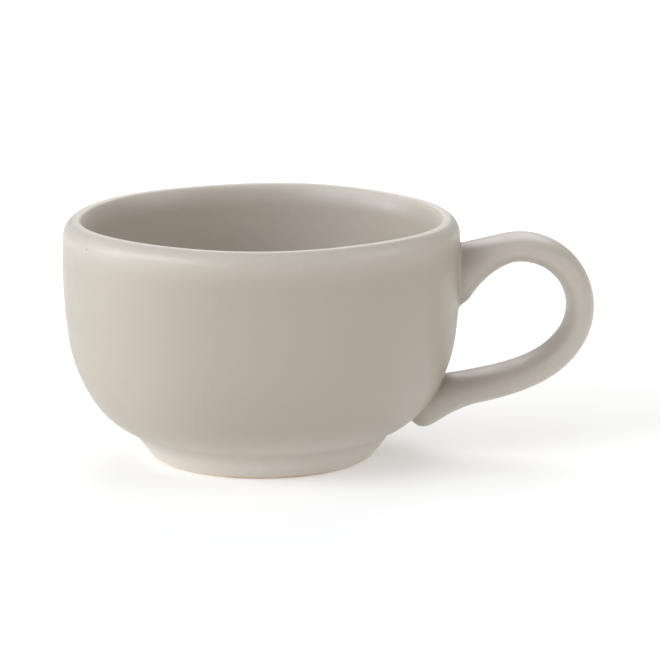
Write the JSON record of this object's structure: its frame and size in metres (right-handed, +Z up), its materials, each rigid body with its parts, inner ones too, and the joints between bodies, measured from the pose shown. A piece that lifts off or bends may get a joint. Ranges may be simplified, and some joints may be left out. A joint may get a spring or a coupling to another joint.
{
  "type": "cappuccino cup",
  "caption": "Round-bellied glazed stoneware cappuccino cup with a thick flat-topped lip, a flared foot ring and a strap handle.",
  "frame": {"origin": "centre of the foot ring's standing face, on the table", "axes": "+Z up along the bowl's axis, +X towards the handle"},
  "size_m": [0.1284, 0.096, 0.0584],
  "materials": {
    "clay": "bare fired stoneware",
    "slip": "fired slip",
    "glaze": "satin greige glaze"
  },
  "bodies": {
    "root": {"bowl": "clay", "foot_ring": "clay", "handle": "clay", "upper_slip": "slip", "lower_slip": "slip", "bowl_glaze": "glaze", "handle_glaze": "glaze", "base_glaze": "glaze"}
  },
  "joints": []
}
